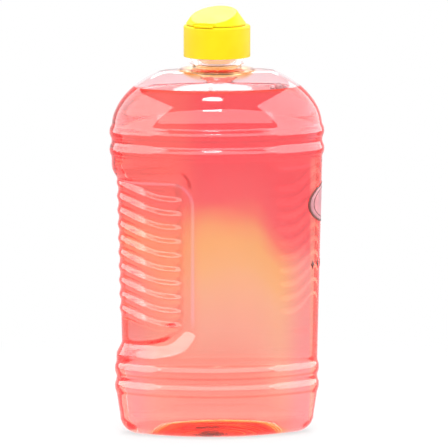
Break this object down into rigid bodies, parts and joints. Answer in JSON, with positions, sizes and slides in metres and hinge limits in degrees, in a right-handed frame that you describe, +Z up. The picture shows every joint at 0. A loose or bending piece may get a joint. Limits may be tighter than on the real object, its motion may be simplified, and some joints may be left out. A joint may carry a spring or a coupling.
{
  "type": "cologne bottle",
  "caption": "Clear flat-oval plastic bottle of pink-red cologne with a ribbed pinch grip and a yellow flip-top screw cap.",
  "frame": {"origin": "middle of the standing ring, at the bottom centre of the bounding box", "axes": "+Z up along the neck, +X towards the plain front end, -X towards the grip end, Y across the bottle"},
  "size_m": [0.1102, 0.0612, 0.22],
  "materials": {
    "clear_plastic": "polished",
    "liquid": "polished",
    "foam": "matte",
    "yellow_plastic": "satin"
  },
  "bodies": {
    "bottle": {"bottle": "clear_plastic", "cologne": "liquid"},
    "wad": {"sealing_wad": "foam"},
    "cap": {"cap_body": "yellow_plastic"},
    "lid": {"flip_lid": "yellow_plastic"}
  },
  "joints": [
    {"name": "cap_lift", "type": "slide", "parent": "bottle", "child": "wad", "axis": [0, 0, 1], "range_m": [0, 0.00635]},
    {"name": "cap_turn", "type": "hinge", "parent": "wad", "child": "cap", "pos_m": [0, 0, 0.2], "axis": [0, 0, 1], "range_deg": [0, 540]},
    {"name": "lid_flip", "type": "hinge", "parent": "cap", "child": "lid", "pos_m": [-0.00756, -0.01364, 0.2114], "axis": [0.8746, -0.4848, 0], "range_deg": [0, 150]}
  ],
  "couplings": [
    {"joint": "cap_lift", "follows": "cap_turn", "m_per_rad": 0.0006737}
  ]
}
